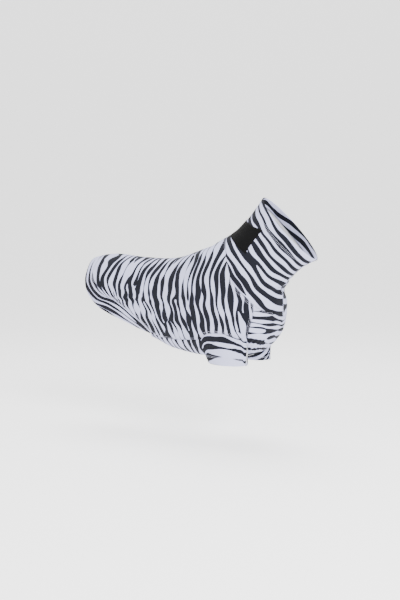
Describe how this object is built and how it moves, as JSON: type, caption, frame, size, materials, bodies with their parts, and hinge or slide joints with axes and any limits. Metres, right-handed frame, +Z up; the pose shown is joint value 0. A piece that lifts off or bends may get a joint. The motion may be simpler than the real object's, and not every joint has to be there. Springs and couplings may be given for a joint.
{
  "type": "dog fly sheet",
  "caption": "Close-fitting stretch fly sheet for a dog, with a high collar, short foreleg sleeves and a banded rear edge, in a zebra print.",
  "frame": {"origin": "on the wearer's midline, inside the chest; the wearer's body holds the sheet here", "axes": "+X towards the wearer's head, +Y to its left side, +Z up"},
  "size_m": [0.5311, 0.163, 0.3326],
  "materials": {
    "printed_knit": "matte fine knit, pale lavender grey with near-black zebra stripes",
    "thread": "matte polyester thread",
    "patch_cloth": "matte black woven patch",
    "elastic_tape": "matte woven elastic",
    "label_tape": "satin woven tape"
  },
  "bodies": {
    "body": {"back_panel": "printed_knit", "underside_panel": "printed_knit", "rear_band": "printed_knit", "rear_elastic": "elastic_tape", "neck_seam_stitches": "thread", "band_seam_stitches": "thread", "right_belly_seam_stitches": "thread", "right_armhole_stitches": "thread", "right_chest_seam_stitches": "thread", "left_belly_seam_stitches": "thread", "left_armhole_stitches": "thread", "left_chest_seam_stitches": "thread"},
    "collar": {"collar": "printed_knit", "nape_patch": "patch_cloth"},
    "right_sleeve": {"right_sleeve": "printed_knit"},
    "left_sleeve": {"left_sleeve": "printed_knit"},
    "care_label": {"care_label": "label_tape"}
  },
  "joints": [
    {"name": "collar_nod", "type": "hinge", "parent": "body", "child": "collar", "pos_m": [0.132, 0, 0.06], "axis": [0, 1, 0], "range_deg": [-5, 12], "stiffness_Nm_per_rad": 0.6},
    {"name": "right_sleeve_lift", "type": "hinge", "parent": "body", "child": "right_sleeve", "pos_m": [0.095, -0.067, -0.062], "axis": [-1, 0, 0], "range_deg": [0, 15], "stiffness_Nm_per_rad": 0.05},
    {"name": "left_sleeve_lift", "type": "hinge", "parent": "body", "child": "left_sleeve", "pos_m": [0.095, 0.067, -0.062], "axis": [1, 0, 0], "range_deg": [0, 15], "stiffness_Nm_per_rad": 0.05},
    {"name": "care_label_swing", "type": "hinge", "parent": "body", "child": "care_label", "pos_m": [0.04405, 0, 0.1148], "axis": [0, 1, 0], "range_deg": [-40, 40]}
  ]
}
